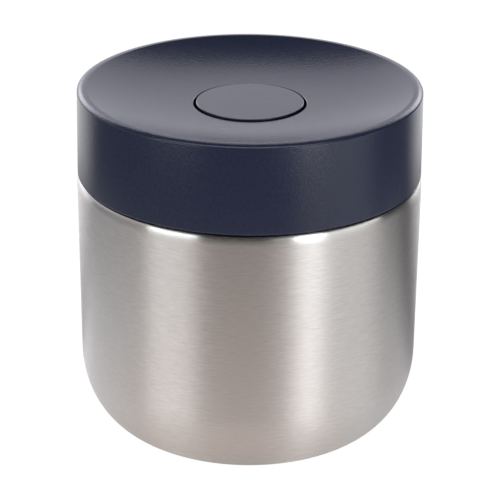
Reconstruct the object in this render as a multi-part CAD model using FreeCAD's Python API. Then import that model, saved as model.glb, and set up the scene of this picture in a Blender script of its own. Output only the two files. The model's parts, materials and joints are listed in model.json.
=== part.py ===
import FreeCAD, Part

import math
import os

from FreeCAD import Vector

# Insulated food jar: a double-walled steel jar with a screw lid, and a vent button in the lid.
# Millimetres. The origin is the middle of the foot, on the surface that the jar stands on, +Z is up.

# Driving dimensions of the jar body
BODY_RADIUS = 50.2
BODY_HEIGHT = 77.5
BOTTOM_CORNER_RUN = 15.3
BOTTOM_CORNER_RISE = 22.0
SHELL_WALL = 0.6
SHOULDER_RUN = 0.8
SHOULDER_RISE = 3.0
FOOT_WIDTH = 1.15
HEM_HEIGHT = 2.4
NECK_HEIGHT = 13.5
NECK_ROOT_ROUND = 0.5
VESSEL_WALL = 0.5
NECK_VACUUM_GAP = 0.8
VESSEL_FLOOR_HEIGHT = 9.0
VESSEL_CORNER = 14.0
LIP_THICKNESS = 0.6
LIP_ROUND = 0.28

# Driving dimensions of the foot's pieces
BASE_PLATE = 0.6
DIMPLE_RADIUS = 6.0
DIMPLE_SLOPE_RUN = 2.0
DIMPLE_RISE = 1.4
EVACUATION_HOLE_RADIUS = 1.2
PLUG_BEAD_RADIUS = 2.5
PLUG_BEAD_DEPTH = 0.6
COVER_THICKNESS = 0.5
COVER_RECESS = 0.3
ADHESIVE_MARGIN = 4.75
ADHESIVE_WIDTH = 7.0
GETTER_MARGIN = 13.75
GETTER_RADIUS = 3.4
GETTER_HEIGHT = 1.6
GETTER_CUP_WALL = 0.4
FOIL_THICKNESS = 0.12
FOIL_END_GAP = 8.0

# Driving dimensions of the thread
THREAD_STARTS = 2
THREAD_LEAD = 8.0
THREAD_DEPTH = 1.1
THREAD_ROOT_WIDTH = 2.3
THREAD_TIP_WIDTH = 1.3
THREAD_ROOT_SINK = 0.25
THREAD_CLEARANCE = 0.4
THREAD_EDGE_MARGIN = 0.05
THREAD_TOP_MARGIN = 1.25
LID_THREAD_SHORTER = 1.0

# Driving dimensions of the lid shell
LID_GAP = 0.5
LID_INSET = 0.2
LID_HEIGHT = 25.5
LID_DRAFT_DEG = 0.95
LID_EDGE_ROUND = 0.4
LID_SIDE_WALL = 1.65
LID_TOP_WALL = 1.8
RIM_LAND_WIDTH = 0.3
RIM_LAND_DROP = 0.02
RIM_OUTER_RUN = 2.4
RIM_OUTER_RISE = 0.9
CREST_ROUND = 0.7
CREST_INSET = 0.5
DISH_DEPTH = 5.8
DISH_POWER = 2.6
LEDGE_WIDTH = 0.75
UNDERSIDE_FLAT = 0.8
WELL_RADIUS = 16.3
WELL_EDGE_ROUND = 0.3
WELL_WALL = 1.5
WELL_FLOOR_THICKNESS = 1.5

# Driving dimensions of the liner, the seal and the foam
LINER_WALL = 1.35
LINER_PLATE = 1.6
LINER_LIFT = 0.8
SEAL_THICKNESS = 1.8
SEAL_GAP = 0.15
SEAL_PLUG_GAP = 0.2
SEAL_OVERHANG = 0.8
SEAL_LIP_ROUND = 0.5
MOUTH_CLEARANCE = 1.5
PLUG_WALL = 1.5
PLUG_EDGE_ROUND = 1.0
VENT_TUBE_RADIUS = 4.0
VENT_TUBE_WALL = 1.5
VENT_TUBE_HEIGHT = 1.8
VENT_GAP = 0.6
FOAM_GAP = 0.3

# Driving dimensions of the vent button and its valve
BUTTON_GAP = 0.75
BUTTON_PROUD = 0.8
BUTTON_TRAVEL = 2.5
BUTTON_PLATE = 1.8
BUTTON_EDGE_ROUND = 0.3
BUTTON_SKIRT_WALL = 1.5
BUTTON_SKIRT_DEPTH = 4.7
BUTTON_BOSS_WALL = 2.4
BUTTON_BOSS_GAP = 0.45
BUTTON_FLOOR_GAP = 1.25
STEM_RADIUS = 2.0
STEM_RUNNING_GAP = 0.06
STEM_SOCKET_GAP = 0.5
STEM_COLLAR_HEIGHT = 1.0
GUIDE_WALL = 2.04
GUIDE_FLANGE_WIDTH = 1.1
GUIDE_FLANGE_HEIGHT = 0.8
GUIDE_SLOTS = 4
GUIDE_SLOT_WIDTH = 0.9
GUIDE_SLOT_DEPTH = 1.0
O_RING_SECTION = 1.0
O_RING_SQUEEZE_GAP = 0.05
SPRING_WIRE = 0.6
SPRING_RADIUS = 8.2
SPRING_TURNS = 4.0
SPRING_END_GAP = 0.1
SPRING_WIRE_SIDES = 10
VALVE_RADIUS = 7.0
VALVE_THICKNESS = 1.6
VALVE_GAP = 0.3
VALVE_ROUND = 0.5
WASHER_RADIUS = 4.5
WASHER_THICKNESS = 0.5
SCREW_RADIUS = 1.0
SCREW_LENGTH = 5.0
SCREW_HEAD_RADIUS = 2.2
SCREW_HEAD_HEIGHT = 1.3
SCREW_SLOT_WIDTH = 0.5
SCREW_SLOT_DEPTH = 0.6
SCREW_HOLE_GAP = 0.08

# Clearance between round pieces of the same body that fit in each other
FIT_GAP = 0.1

# Heights that several pieces share, worked out from the sizes above
COVER_TOP = COVER_RECESS + COVER_THICKNESS
BASE_UNDERSIDE = HEM_HEIGHT - BASE_PLATE
LIP_TOP = BODY_HEIGHT + NECK_HEIGHT
NECK_TOP = LIP_TOP - LIP_THICKNESS
LID_BOTTOM = BODY_HEIGHT + LID_GAP
LINER_BOTTOM = LID_BOTTOM + LINER_LIFT
CREST_HEIGHT = LID_BOTTOM + LID_HEIGHT
DISH_CENTRE = CREST_HEIGHT - DISH_DEPTH
BUTTON_TOP = DISH_CENTRE + BUTTON_PROUD
BUTTON_UNDERSIDE = BUTTON_TOP - BUTTON_PLATE
SKIRT_BOTTOM = BUTTON_TOP - BUTTON_SKIRT_DEPTH
WELL_FLOOR_TOP = SKIRT_BOTTOM - BUTTON_TRAVEL - BUTTON_FLOOR_GAP
WELL_FLOOR_BOTTOM = WELL_FLOOR_TOP - WELL_FLOOR_THICKNESS
GUIDE_TOP = WELL_FLOOR_TOP + GUIDE_FLANGE_HEIGHT
BOSS_BOTTOM = GUIDE_TOP + BUTTON_TRAVEL + BUTTON_BOSS_GAP
SEAL_BOTTOM = LIP_TOP + SEAL_GAP
SEAL_TOP = SEAL_BOTTOM + SEAL_THICKNESS
LINER_PLATE_BOTTOM = SEAL_TOP + SEAL_GAP
LINER_PLATE_TOP = LINER_PLATE_BOTTOM + LINER_PLATE
VENT_TUBE_TOP = WELL_FLOOR_BOTTOM - O_RING_SECTION
LINER_FLOOR_TOP = VENT_TUBE_TOP - VENT_TUBE_HEIGHT
LINER_FLOOR_BOTTOM = LINER_FLOOR_TOP - PLUG_WALL
VALVE_TOP = LINER_FLOOR_BOTTOM - VALVE_GAP
VALVE_BOTTOM = VALVE_TOP - VALVE_THICKNESS
WASHER_BOTTOM = VALVE_BOTTOM - WASHER_THICKNESS
STEM_TOP = BUTTON_UNDERSIDE - STEM_SOCKET_GAP

# Where the thread runs: one lid ridge lies midway between two jar ridges, just above the liner's edge
RIDGE_SPACING = THREAD_LEAD / THREAD_STARTS
LID_THREAD_LOW = LINER_BOTTOM + THREAD_EDGE_MARGIN + THREAD_ROOT_WIDTH / 2
JAR_THREAD_LOW = LID_THREAD_LOW + RIDGE_SPACING / 2
JAR_THREAD_HIGH = NECK_TOP - THREAD_TOP_MARGIN - THREAD_ROOT_WIDTH / 2
JAR_THREAD_RISE = JAR_THREAD_HIGH - JAR_THREAD_LOW
LID_THREAD_RISE = JAR_THREAD_RISE - LID_THREAD_SHORTER

# Radii that several pieces share
LID_RADIUS = BODY_RADIUS - LID_INSET
LID_BORE = LID_RADIUS - LID_SIDE_WALL
LEDGE_RADIUS = LID_BORE - LEDGE_WIDTH
LINER_OUTER = LID_BORE - FIT_GAP
LINER_BORE = LINER_OUTER - LINER_WALL
NECK_RADIUS = LINER_BORE - THREAD_CLEARANCE - THREAD_DEPTH
VESSEL_OUTER = NECK_RADIUS - SHELL_WALL - NECK_VACUUM_GAP
VESSEL_INNER = VESSEL_OUTER - VESSEL_WALL
FOOT_RADIUS = BODY_RADIUS - BOTTOM_CORNER_RUN
HEM_RADIUS = FOOT_RADIUS - FOOT_WIDTH
ADHESIVE_OUTER = HEM_RADIUS - ADHESIVE_MARGIN
GETTER_OFFSET = HEM_RADIUS - GETTER_MARGIN
LID_TOP_RADIUS = LID_RADIUS - LID_HEIGHT * math.tan(math.radians(LID_DRAFT_DEG))
CREST_RADIUS = LID_TOP_RADIUS - RIM_OUTER_RUN - RIM_LAND_WIDTH
PLUG_RADIUS = VESSEL_INNER - MOUTH_CLEARANCE
PLUG_BORE = PLUG_RADIUS - PLUG_WALL
WELL_OUTER = WELL_RADIUS + WELL_WALL
VENT_TUBE_OUTER = VENT_TUBE_RADIUS + VENT_TUBE_WALL
BUTTON_RADIUS = WELL_RADIUS - BUTTON_GAP
GUIDE_BORE = STEM_RADIUS + STEM_RUNNING_GAP
GUIDE_RADIUS = GUIDE_BORE + GUIDE_WALL
GUIDE_HOLE = GUIDE_RADIUS + FIT_GAP
SOCKET_RADIUS = STEM_RADIUS + FIT_GAP

AXIS_START = Vector(0, 0, 0)
UP = Vector(0, 0, 1)
SAME_POINT = 1e-6
CURVE_POINTS = 7


def corner_span(before, corner, after):
    """Where a corner's rounding starts, its edge, and where it ends, as the corner's tuple says."""
    tip = Vector(corner[0], 0, corner[1])
    if len(corner) == 2:
        return tip, None, tip
    back = (before - tip).normalize()
    ahead = (after - tip).normalize()
    if len(corner) == 4:
        return elliptical_span(tip, back, ahead, corner[2], corner[3])
    half_angle = back.getAngle(ahead) / 2
    run = corner[2] / math.tan(half_angle)
    middle_way = (back + ahead).normalize()
    arc_centre = tip + middle_way * (corner[2] / math.sin(half_angle))
    first = tip + back * run
    last = tip + ahead * run
    edge = Part.Arc(first, arc_centre - middle_way * corner[2], last).toShape()
    return first, edge, last


def elliptical_span(tip, back, ahead, back_run, ahead_run):
    """A quarter of an ellipse in a square corner, with its own run along each side."""
    first = tip + back * back_run
    last = tip + ahead * ahead_run
    centre = tip + back * back_run + ahead * ahead_run
    if back_run > ahead_run:
        long_end, short_end = last, first
    else:
        long_end, short_end = first, last
    ellipse = Part.Ellipse(long_end, short_end, centre)
    start = ellipse.parameter(first)
    end = ellipse.parameter(last)
    if (end - start) % (2 * math.pi) > math.pi:
        start, end = end, start
    edge = Part.ArcOfEllipse(ellipse, start, end).toShape()
    return first, edge, last


def smooth_span(points):
    """A smooth curve through points, as the ends and the edge of a span."""
    places = [Vector(r, 0, z) for r, z in points]
    curve = Part.BSplineCurve()
    curve.interpolate(places)
    return places[0], curve.toShape(), places[-1]


def end_point(item, index):
    """The first or last point of an outline's item, before any rounding."""
    point = item[index] if isinstance(item, list) else item
    return Vector(point[0], 0, point[1])


def turned(outline):
    """A solid turned about the Z axis from an outline of (radius, height) corners.

    A third number rounds the corner, a third and a fourth give it an elliptical rounding with
    its runs along the side before and the side after, and a list of points is a smooth curve.
    """
    spans = []
    for i, item in enumerate(outline):
        if isinstance(item, list):
            spans.append(smooth_span(item))
            continue
        before = end_point(outline[i - 1], -1)
        after = end_point(outline[(i + 1) % len(outline)], 0)
        spans.append(corner_span(before, item, after))
    edges = []
    for i, (first, edge, last) in enumerate(spans):
        if edge is not None:
            edges.append(edge)
        following = spans[(i + 1) % len(spans)][0]
        if (following - last).Length > SAME_POINT:
            edges.append(Part.makeLine(last, following))
    face = Part.Face(Part.Wire(edges))
    return face.revolve(AXIS_START, UP, 360)


def ring(inner, outer, bottom, top):
    """A plain ring between two radii and two heights."""
    return turned([(inner, bottom), (outer, bottom), (outer, top), (inner, top)])


def thread_ridges(wall_radius, outwards, start_height, rise):
    """The ridges of a thread on a wall, one for each start, outwards 1 or towards the axis -1."""
    root = wall_radius - outwards * THREAD_ROOT_SINK
    tip = wall_radius + outwards * THREAD_DEPTH
    section = [
        Vector(root, 0, -THREAD_ROOT_WIDTH / 2),
        Vector(tip, 0, -THREAD_TIP_WIDTH / 2),
        Vector(tip, 0, THREAD_TIP_WIDTH / 2),
        Vector(root, 0, THREAD_ROOT_WIDTH / 2),
    ]
    profile = Part.makePolygon(section + section[:1])
    path = Part.Wire(Part.makeHelix(THREAD_LEAD, rise, wall_radius).Edges)
    ridge = path.makePipeShell([profile], True, True)
    ridges = []
    for start in range(THREAD_STARTS):
        copy = ridge.copy()
        copy.translate(UP * start_height)
        copy.rotate(AXIS_START, UP, 360 / THREAD_STARTS * start)
        ridges.append(copy)
    return ridges


def joined(shape, additions):
    """A shape fused with its additions, as one solid."""
    for addition in additions:
        shape = shape.fuse(addition)
    return shape.Solids[0]


def dish_height(radius, drop):
    """Height of the lid's dished top at a radius, lowered by a drop."""
    share = radius / CREST_RADIUS
    return DISH_CENTRE + DISH_DEPTH * share ** DISH_POWER - drop


def dish_curve(outer, inner, drop):
    """Points of the dished top from an outer radius to an inner one."""
    step = (outer - inner) / (CURVE_POINTS - 1)
    radii = [outer - step * i for i in range(CURVE_POINTS)]
    return [(radius, dish_height(radius, drop)) for radius in radii]


def outer_shell():
    wall = SHELL_WALL
    inside = BODY_RADIUS - wall
    neck_inside = NECK_RADIUS - wall
    shell = turned([
        (HEM_RADIUS, 0),
        (BODY_RADIUS, 0, BOTTOM_CORNER_RUN, BOTTOM_CORNER_RISE),
        (BODY_RADIUS, BODY_HEIGHT, SHOULDER_RISE, SHOULDER_RUN),
        (NECK_RADIUS, BODY_HEIGHT, NECK_ROOT_ROUND),
        (NECK_RADIUS, NECK_TOP),
        (neck_inside, NECK_TOP),
        (neck_inside, BODY_HEIGHT - wall, NECK_ROOT_ROUND + wall),
        (inside, BODY_HEIGHT - wall, SHOULDER_RUN - wall, SHOULDER_RISE - wall),
        (inside, wall, BOTTOM_CORNER_RISE - wall, BOTTOM_CORNER_RUN - wall),
        (HEM_RADIUS + wall, wall),
        (HEM_RADIUS + wall, HEM_HEIGHT),
        (HEM_RADIUS, HEM_HEIGHT),
    ])
    return joined(shell, thread_ridges(NECK_RADIUS, 1, JAR_THREAD_LOW, JAR_THREAD_RISE))


def inner_vessel():
    floor = VESSEL_FLOOR_HEIGHT
    return turned([
        (0, floor - VESSEL_WALL),
        (VESSEL_OUTER, floor - VESSEL_WALL, VESSEL_CORNER + VESSEL_WALL),
        (VESSEL_OUTER, NECK_TOP),
        (NECK_RADIUS, NECK_TOP, LIP_ROUND),
        (NECK_RADIUS, LIP_TOP, LIP_ROUND),
        (VESSEL_INNER, LIP_TOP, LIP_ROUND),
        (VESSEL_INNER, floor, VESSEL_CORNER),
        (0, floor),
    ])


def outer_base():
    rim = HEM_RADIUS - FIT_GAP
    top = HEM_HEIGHT
    dimple_foot = DIMPLE_RADIUS + DIMPLE_SLOPE_RUN
    return turned([
        (EVACUATION_HOLE_RADIUS, BASE_UNDERSIDE + DIMPLE_RISE),
        (DIMPLE_RADIUS, BASE_UNDERSIDE + DIMPLE_RISE),
        (dimple_foot, BASE_UNDERSIDE),
        (rim - BASE_PLATE, BASE_UNDERSIDE),
        (rim - BASE_PLATE, COVER_TOP + FIT_GAP),
        (rim, COVER_TOP + FIT_GAP),
        (rim, top, BASE_PLATE),
        (dimple_foot, top),
        (DIMPLE_RADIUS, top + DIMPLE_RISE),
        (EVACUATION_HOLE_RADIUS, top + DIMPLE_RISE),
    ])


def vacuum_plug():
    seat = BASE_UNDERSIDE + DIMPLE_RISE
    pin = EVACUATION_HOLE_RADIUS - FIT_GAP
    return turned([
        (0, seat - PLUG_BEAD_DEPTH),
        (PLUG_BEAD_RADIUS, seat - PLUG_BEAD_DEPTH, PLUG_BEAD_DEPTH / 2),
        (PLUG_BEAD_RADIUS, seat),
        (pin, seat),
        (pin, seat + BASE_PLATE),
        (0, seat + BASE_PLATE),
    ])


def base_cover():
    rim = HEM_RADIUS - FIT_GAP
    round_edge = COVER_THICKNESS / 2
    return turned([(0, COVER_RECESS), (rim, COVER_RECESS, round_edge), (rim, COVER_TOP), (0, COVER_TOP)])


def base_adhesive():
    return ring(ADHESIVE_OUTER - ADHESIVE_WIDTH, ADHESIVE_OUTER, COVER_TOP, BASE_UNDERSIDE)


def getter_cup():
    inner = GETTER_RADIUS + FIT_GAP
    outer = inner + GETTER_CUP_WALL
    floor = HEM_HEIGHT + GETTER_CUP_WALL
    cup = turned([
        (0, HEM_HEIGHT),
        (outer, HEM_HEIGHT),
        (outer, floor + GETTER_HEIGHT),
        (inner, floor + GETTER_HEIGHT),
        (inner, floor),
        (0, floor),
    ])
    cup.translate(Vector(GETTER_OFFSET, 0, 0))
    return cup


def getter():
    bottom = HEM_HEIGHT + GETTER_CUP_WALL
    top = bottom + GETTER_HEIGHT
    pill = turned([(0, bottom), (GETTER_RADIUS, bottom), (GETTER_RADIUS, top, GETTER_HEIGHT / 4), (0, top)])
    pill.translate(Vector(GETTER_OFFSET, 0, 0))
    return pill


def radiation_foil():
    inner = VESSEL_OUTER + FIT_GAP
    bottom = VESSEL_FLOOR_HEIGHT + VESSEL_CORNER
    return ring(inner, inner + FOIL_THICKNESS, bottom, BODY_HEIGHT - FOIL_END_GAP)


def lid_shell():
    land_height = CREST_HEIGHT - RIM_LAND_DROP
    land_outer = LID_TOP_RADIUS - RIM_OUTER_RUN
    rounding_start = land_height - RIM_OUTER_RISE
    dish_edge = CREST_RADIUS - CREST_INSET
    under_edge = LEDGE_RADIUS - LID_TOP_WALL - UNDERSIDE_FLAT
    under = dish_height(under_edge, LID_TOP_WALL)
    well_top = dish_height(WELL_RADIUS, 0)
    return turned([
        (LID_BORE, LID_BOTTOM, LID_EDGE_ROUND),
        (LID_RADIUS, LID_BOTTOM, LID_EDGE_ROUND),
        (LID_TOP_RADIUS, rounding_start),
        rim_rounding(LID_TOP_RADIUS, rounding_start, land_outer, land_height),
        (CREST_RADIUS, CREST_HEIGHT, CREST_ROUND),
        dish_curve(dish_edge, WELL_RADIUS + WELL_EDGE_ROUND, 0),
        (WELL_RADIUS, well_top, WELL_EDGE_ROUND),
        (WELL_RADIUS, WELL_FLOOR_TOP),
        (GUIDE_HOLE, WELL_FLOOR_TOP),
        (GUIDE_HOLE, WELL_FLOOR_BOTTOM),
        (WELL_OUTER, WELL_FLOOR_BOTTOM),
        dish_curve(WELL_OUTER, under_edge, LID_TOP_WALL),
        (LEDGE_RADIUS, under, LID_TOP_WALL),
        (LEDGE_RADIUS, LINER_PLATE_TOP + FIT_GAP),
        (LID_BORE, LINER_PLATE_TOP + FIT_GAP),
    ])


def rim_rounding(side_radius, side_height, land_radius, land_height):
    """Points of the soft outer rounding from the lid's side up to the land of its rim."""
    run = side_radius - land_radius
    rise = land_height - side_height
    angles = [math.pi / 2 * i / (CURVE_POINTS - 1) for i in range(CURVE_POINTS)]
    return [(side_radius - run * (1 - math.cos(a)), side_height + rise * math.sin(a)) for a in angles]


def lid_liner():
    liner = turned([
        (LINER_BORE, LINER_BOTTOM),
        (LINER_OUTER, LINER_BOTTOM),
        (LINER_OUTER, LINER_PLATE_TOP),
        (PLUG_BORE, LINER_PLATE_TOP),
        (PLUG_BORE, LINER_FLOOR_TOP, PLUG_EDGE_ROUND / 2),
        (VENT_TUBE_OUTER, LINER_FLOOR_TOP),
        (VENT_TUBE_OUTER, VENT_TUBE_TOP),
        (VENT_TUBE_RADIUS, VENT_TUBE_TOP),
        (VENT_TUBE_RADIUS, LINER_FLOOR_BOTTOM),
        (PLUG_RADIUS, LINER_FLOOR_BOTTOM, PLUG_EDGE_ROUND),
        (PLUG_RADIUS, LINER_PLATE_BOTTOM),
        (LINER_BORE, LINER_PLATE_BOTTOM),
    ])
    return joined(liner, thread_ridges(LINER_BORE, -1, LID_THREAD_LOW, LID_THREAD_RISE))


def lid_seal():
    inner = PLUG_RADIUS + SEAL_PLUG_GAP
    outer = NECK_RADIUS + SEAL_OVERHANG
    return turned([
        (inner, SEAL_BOTTOM, SEAL_LIP_ROUND),
        (outer, SEAL_BOTTOM, SEAL_LIP_ROUND),
        (outer, SEAL_TOP),
        (inner, SEAL_TOP),
    ])


def lid_foam():
    tube = VENT_TUBE_OUTER + FOAM_GAP
    plug = PLUG_BORE - FOAM_GAP
    well = WELL_OUTER + FOAM_GAP
    side = LEDGE_RADIUS - LID_TOP_WALL
    bottom = LINER_FLOOR_TOP + PLUG_EDGE_ROUND / 2
    return turned([
        (tube, bottom),
        (plug, bottom),
        (plug, LINER_PLATE_TOP + FOAM_GAP),
        (side, LINER_PLATE_TOP + FOAM_GAP),
        (side, dish_height(side, LID_TOP_WALL + 2 * FOAM_GAP)),
        dish_curve(side - 1, well, LID_TOP_WALL + FOAM_GAP),
        (well, WELL_FLOOR_BOTTOM - FOAM_GAP),
        (tube, WELL_FLOOR_BOTTOM - FOAM_GAP),
    ])


def vent_tube_o_ring():
    middle = VENT_TUBE_RADIUS + VENT_TUBE_WALL / 2
    centre = Vector(0, 0, VENT_TUBE_TOP + O_RING_SECTION / 2)
    return Part.makeTorus(middle, O_RING_SECTION / 2 - O_RING_SQUEEZE_GAP, centre, UP)


def stem_guide():
    flange = GUIDE_RADIUS + GUIDE_FLANGE_WIDTH
    bush = turned([
        (GUIDE_BORE, WELL_FLOOR_BOTTOM),
        (GUIDE_RADIUS, WELL_FLOOR_BOTTOM),
        (GUIDE_RADIUS, WELL_FLOOR_TOP),
        (flange, WELL_FLOOR_TOP),
        (flange, GUIDE_TOP),
        (GUIDE_BORE, GUIDE_TOP),
    ])
    reach = GUIDE_BORE + GUIDE_SLOT_DEPTH
    height = GUIDE_TOP - WELL_FLOOR_BOTTOM
    corner = Vector(0, -GUIDE_SLOT_WIDTH / 2, WELL_FLOOR_BOTTOM)
    slot = Part.makeBox(reach, GUIDE_SLOT_WIDTH, height, corner)
    for i in range(GUIDE_SLOTS):
        cutter = slot.copy()
        cutter.rotate(AXIS_START, UP, 360 / GUIDE_SLOTS * i)
        bush = bush.cut(cutter)
    return bush.Solids[0]


def vent_button():
    skirt_inner = BUTTON_RADIUS - BUTTON_SKIRT_WALL
    boss = SOCKET_RADIUS + BUTTON_BOSS_WALL
    return turned([
        (0, BUTTON_TOP),
        (0, BUTTON_UNDERSIDE),
        (SOCKET_RADIUS, BUTTON_UNDERSIDE),
        (SOCKET_RADIUS, BOSS_BOTTOM),
        (boss, BOSS_BOTTOM),
        (boss, BUTTON_UNDERSIDE),
        (skirt_inner, BUTTON_UNDERSIDE),
        (skirt_inner, SKIRT_BOTTOM),
        (BUTTON_RADIUS, SKIRT_BOTTOM),
        (BUTTON_RADIUS, BUTTON_TOP, BUTTON_EDGE_ROUND),
    ])


def vent_stem():
    hole = SCREW_RADIUS + SCREW_HOLE_GAP
    hole_top = WASHER_BOTTOM + SCREW_LENGTH + FIT_GAP
    collar = VENT_TUBE_RADIUS - VENT_GAP
    collar_top = VALVE_TOP + STEM_COLLAR_HEIGHT
    return turned([
        (0, hole_top),
        (hole, hole_top),
        (hole, VALVE_BOTTOM),
        (STEM_RADIUS, VALVE_BOTTOM),
        (STEM_RADIUS, VALVE_TOP),
        (collar, VALVE_TOP),
        (collar, collar_top),
        (STEM_RADIUS, collar_top),
        (STEM_RADIUS, STEM_TOP),
        (0, STEM_TOP),
    ])


def vent_spring():
    low = WELL_FLOOR_TOP + SPRING_END_GAP + SPRING_WIRE / 2
    high = BUTTON_UNDERSIDE - SPRING_END_GAP - SPRING_WIRE / 2
    height = high - low
    path = Part.Wire(Part.makeHelix(height / SPRING_TURNS, height, SPRING_RADIUS).Edges)
    angles = [2 * math.pi * i / SPRING_WIRE_SIDES for i in range(SPRING_WIRE_SIDES)]
    wire = SPRING_WIRE / 2
    section = [Vector(SPRING_RADIUS + wire * math.cos(a), 0, wire * math.sin(a)) for a in angles]
    spring = path.makePipeShell([Part.makePolygon(section + section[:1])], True, True)
    spring.translate(UP * low)
    return spring


def vent_valve():
    inner = STEM_RADIUS + FIT_GAP
    return turned([
        (inner, VALVE_BOTTOM),
        (VALVE_RADIUS, VALVE_BOTTOM, VALVE_ROUND),
        (VALVE_RADIUS, VALVE_TOP),
        (inner, VALVE_TOP),
    ])


def valve_washer():
    return ring(SCREW_RADIUS + FIT_GAP, WASHER_RADIUS, WASHER_BOTTOM, VALVE_BOTTOM)


def valve_screw():
    head_bottom = WASHER_BOTTOM - SCREW_HEAD_HEIGHT
    screw = turned([
        (0, head_bottom),
        (SCREW_HEAD_RADIUS, head_bottom, SCREW_HEAD_HEIGHT / 2),
        (SCREW_HEAD_RADIUS, WASHER_BOTTOM),
        (SCREW_RADIUS, WASHER_BOTTOM),
        (SCREW_RADIUS, WASHER_BOTTOM + SCREW_LENGTH),
        (0, WASHER_BOTTOM + SCREW_LENGTH),
    ])
    corner = Vector(-SCREW_HEAD_RADIUS, -SCREW_SLOT_WIDTH / 2, head_bottom)
    slot = Part.makeBox(2 * SCREW_HEAD_RADIUS, SCREW_SLOT_WIDTH, SCREW_SLOT_DEPTH, corner)
    return screw.cut(slot).Solids[0]


PIECES = [
    outer_shell,
    inner_vessel,
    outer_base,
    vacuum_plug,
    base_cover,
    base_adhesive,
    getter_cup,
    getter,
    radiation_foil,
    lid_shell,
    lid_liner,
    lid_seal,
    lid_foam,
    vent_tube_o_ring,
    stem_guide,
    vent_button,
    vent_stem,
    vent_spring,
    vent_valve,
    valve_washer,
    valve_screw,
]

os.makedirs("parts", exist_ok=True)
for piece in PIECES:
    shape = piece()
    box = shape.optimalBoundingBox()
    print(piece.__name__, "valid", shape.isValid(), "solids", len(shape.Solids),
          "z %.2f to %.2f" % (box.ZMin, box.ZMax), "radius %.2f" % box.XMax,
          "volume %.1f" % shape.Volume)
    shape.exportStep("parts/" + piece.__name__ + ".step")
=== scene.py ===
"""Insulated food jar: the looks of a steel jar with a screw lid and a vent button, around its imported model."""

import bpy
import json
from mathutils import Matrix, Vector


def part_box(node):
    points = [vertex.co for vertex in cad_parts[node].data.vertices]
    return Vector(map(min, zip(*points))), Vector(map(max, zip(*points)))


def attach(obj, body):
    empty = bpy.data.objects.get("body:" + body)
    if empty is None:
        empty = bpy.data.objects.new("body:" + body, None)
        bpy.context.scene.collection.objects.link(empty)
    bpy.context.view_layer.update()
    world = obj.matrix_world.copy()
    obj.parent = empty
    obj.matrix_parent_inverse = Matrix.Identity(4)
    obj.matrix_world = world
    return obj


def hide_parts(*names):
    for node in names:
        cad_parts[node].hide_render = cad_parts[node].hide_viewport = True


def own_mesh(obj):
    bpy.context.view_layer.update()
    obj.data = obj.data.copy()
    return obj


bl_info = {
    "name": "Insulated food jar",
    "version": (1, 0, 0),
    "blender": (4, 5, 0),
    "location": "3D Viewport > Sidebar > Food Jar",
    "description": "Builds the visible pieces, finishes and stage of an insulated food jar",
    "category": "Object",
}

import json
import math
from types import SimpleNamespace

import bmesh
import bpy
from mathutils import Euler, Vector

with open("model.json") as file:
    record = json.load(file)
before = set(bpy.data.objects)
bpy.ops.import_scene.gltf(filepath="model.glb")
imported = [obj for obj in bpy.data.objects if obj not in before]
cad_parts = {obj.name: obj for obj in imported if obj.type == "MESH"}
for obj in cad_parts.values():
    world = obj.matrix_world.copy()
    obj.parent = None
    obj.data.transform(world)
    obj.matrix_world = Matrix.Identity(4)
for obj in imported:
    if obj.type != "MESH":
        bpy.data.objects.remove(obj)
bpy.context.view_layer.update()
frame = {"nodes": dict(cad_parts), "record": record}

MM = 0.001
FULL_TURN = 2 * math.pi
ROUND_STEP = math.radians(7.5)
HOLD_DISTANCE = 0.12 * MM  # From a rounding to the points that keep its shading off the flats beside it
MERGE_DISTANCE = 0.001 * MM
SHARP_ANGLE = math.radians(38)
SEGMENTS = 256
SMALL_SEGMENTS = 96
ELLIPSE_STEPS = 30
RIM_STEPS = 14
DISH_STEPS = 20
DISH_POWER = 2.6
FIT_GAP = 0.1 * MM
LINER_RECESS = 0.8 * MM  # From the lid's lower edge up to the liner's
FLOOR_REACH = 3.0
LAMP_AIM_HEIGHT = 60 * MM
WHITE = (1.0, 1.0, 1.0)


def length(name, text, millimetres):
    """A length property with its default given in millimetres."""
    return bpy.props.FloatProperty(
        name=name, description=text, default=millimetres * MM, min=0, unit="LENGTH", precision=5)


def colour(name, text, value):
    """A colour property."""
    return bpy.props.FloatVectorProperty(
        name=name, description=text, default=value, min=0, max=1, subtype="COLOR")


def share(name, text, value):
    """A number from 0 to 1."""
    return bpy.props.FloatProperty(name=name, description=text, default=value, min=0, max=1, subtype="FACTOR")


def angle(name, text, radians):
    """An angle property."""
    return bpy.props.FloatProperty(name=name, description=text, default=radians, subtype="ANGLE")


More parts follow.
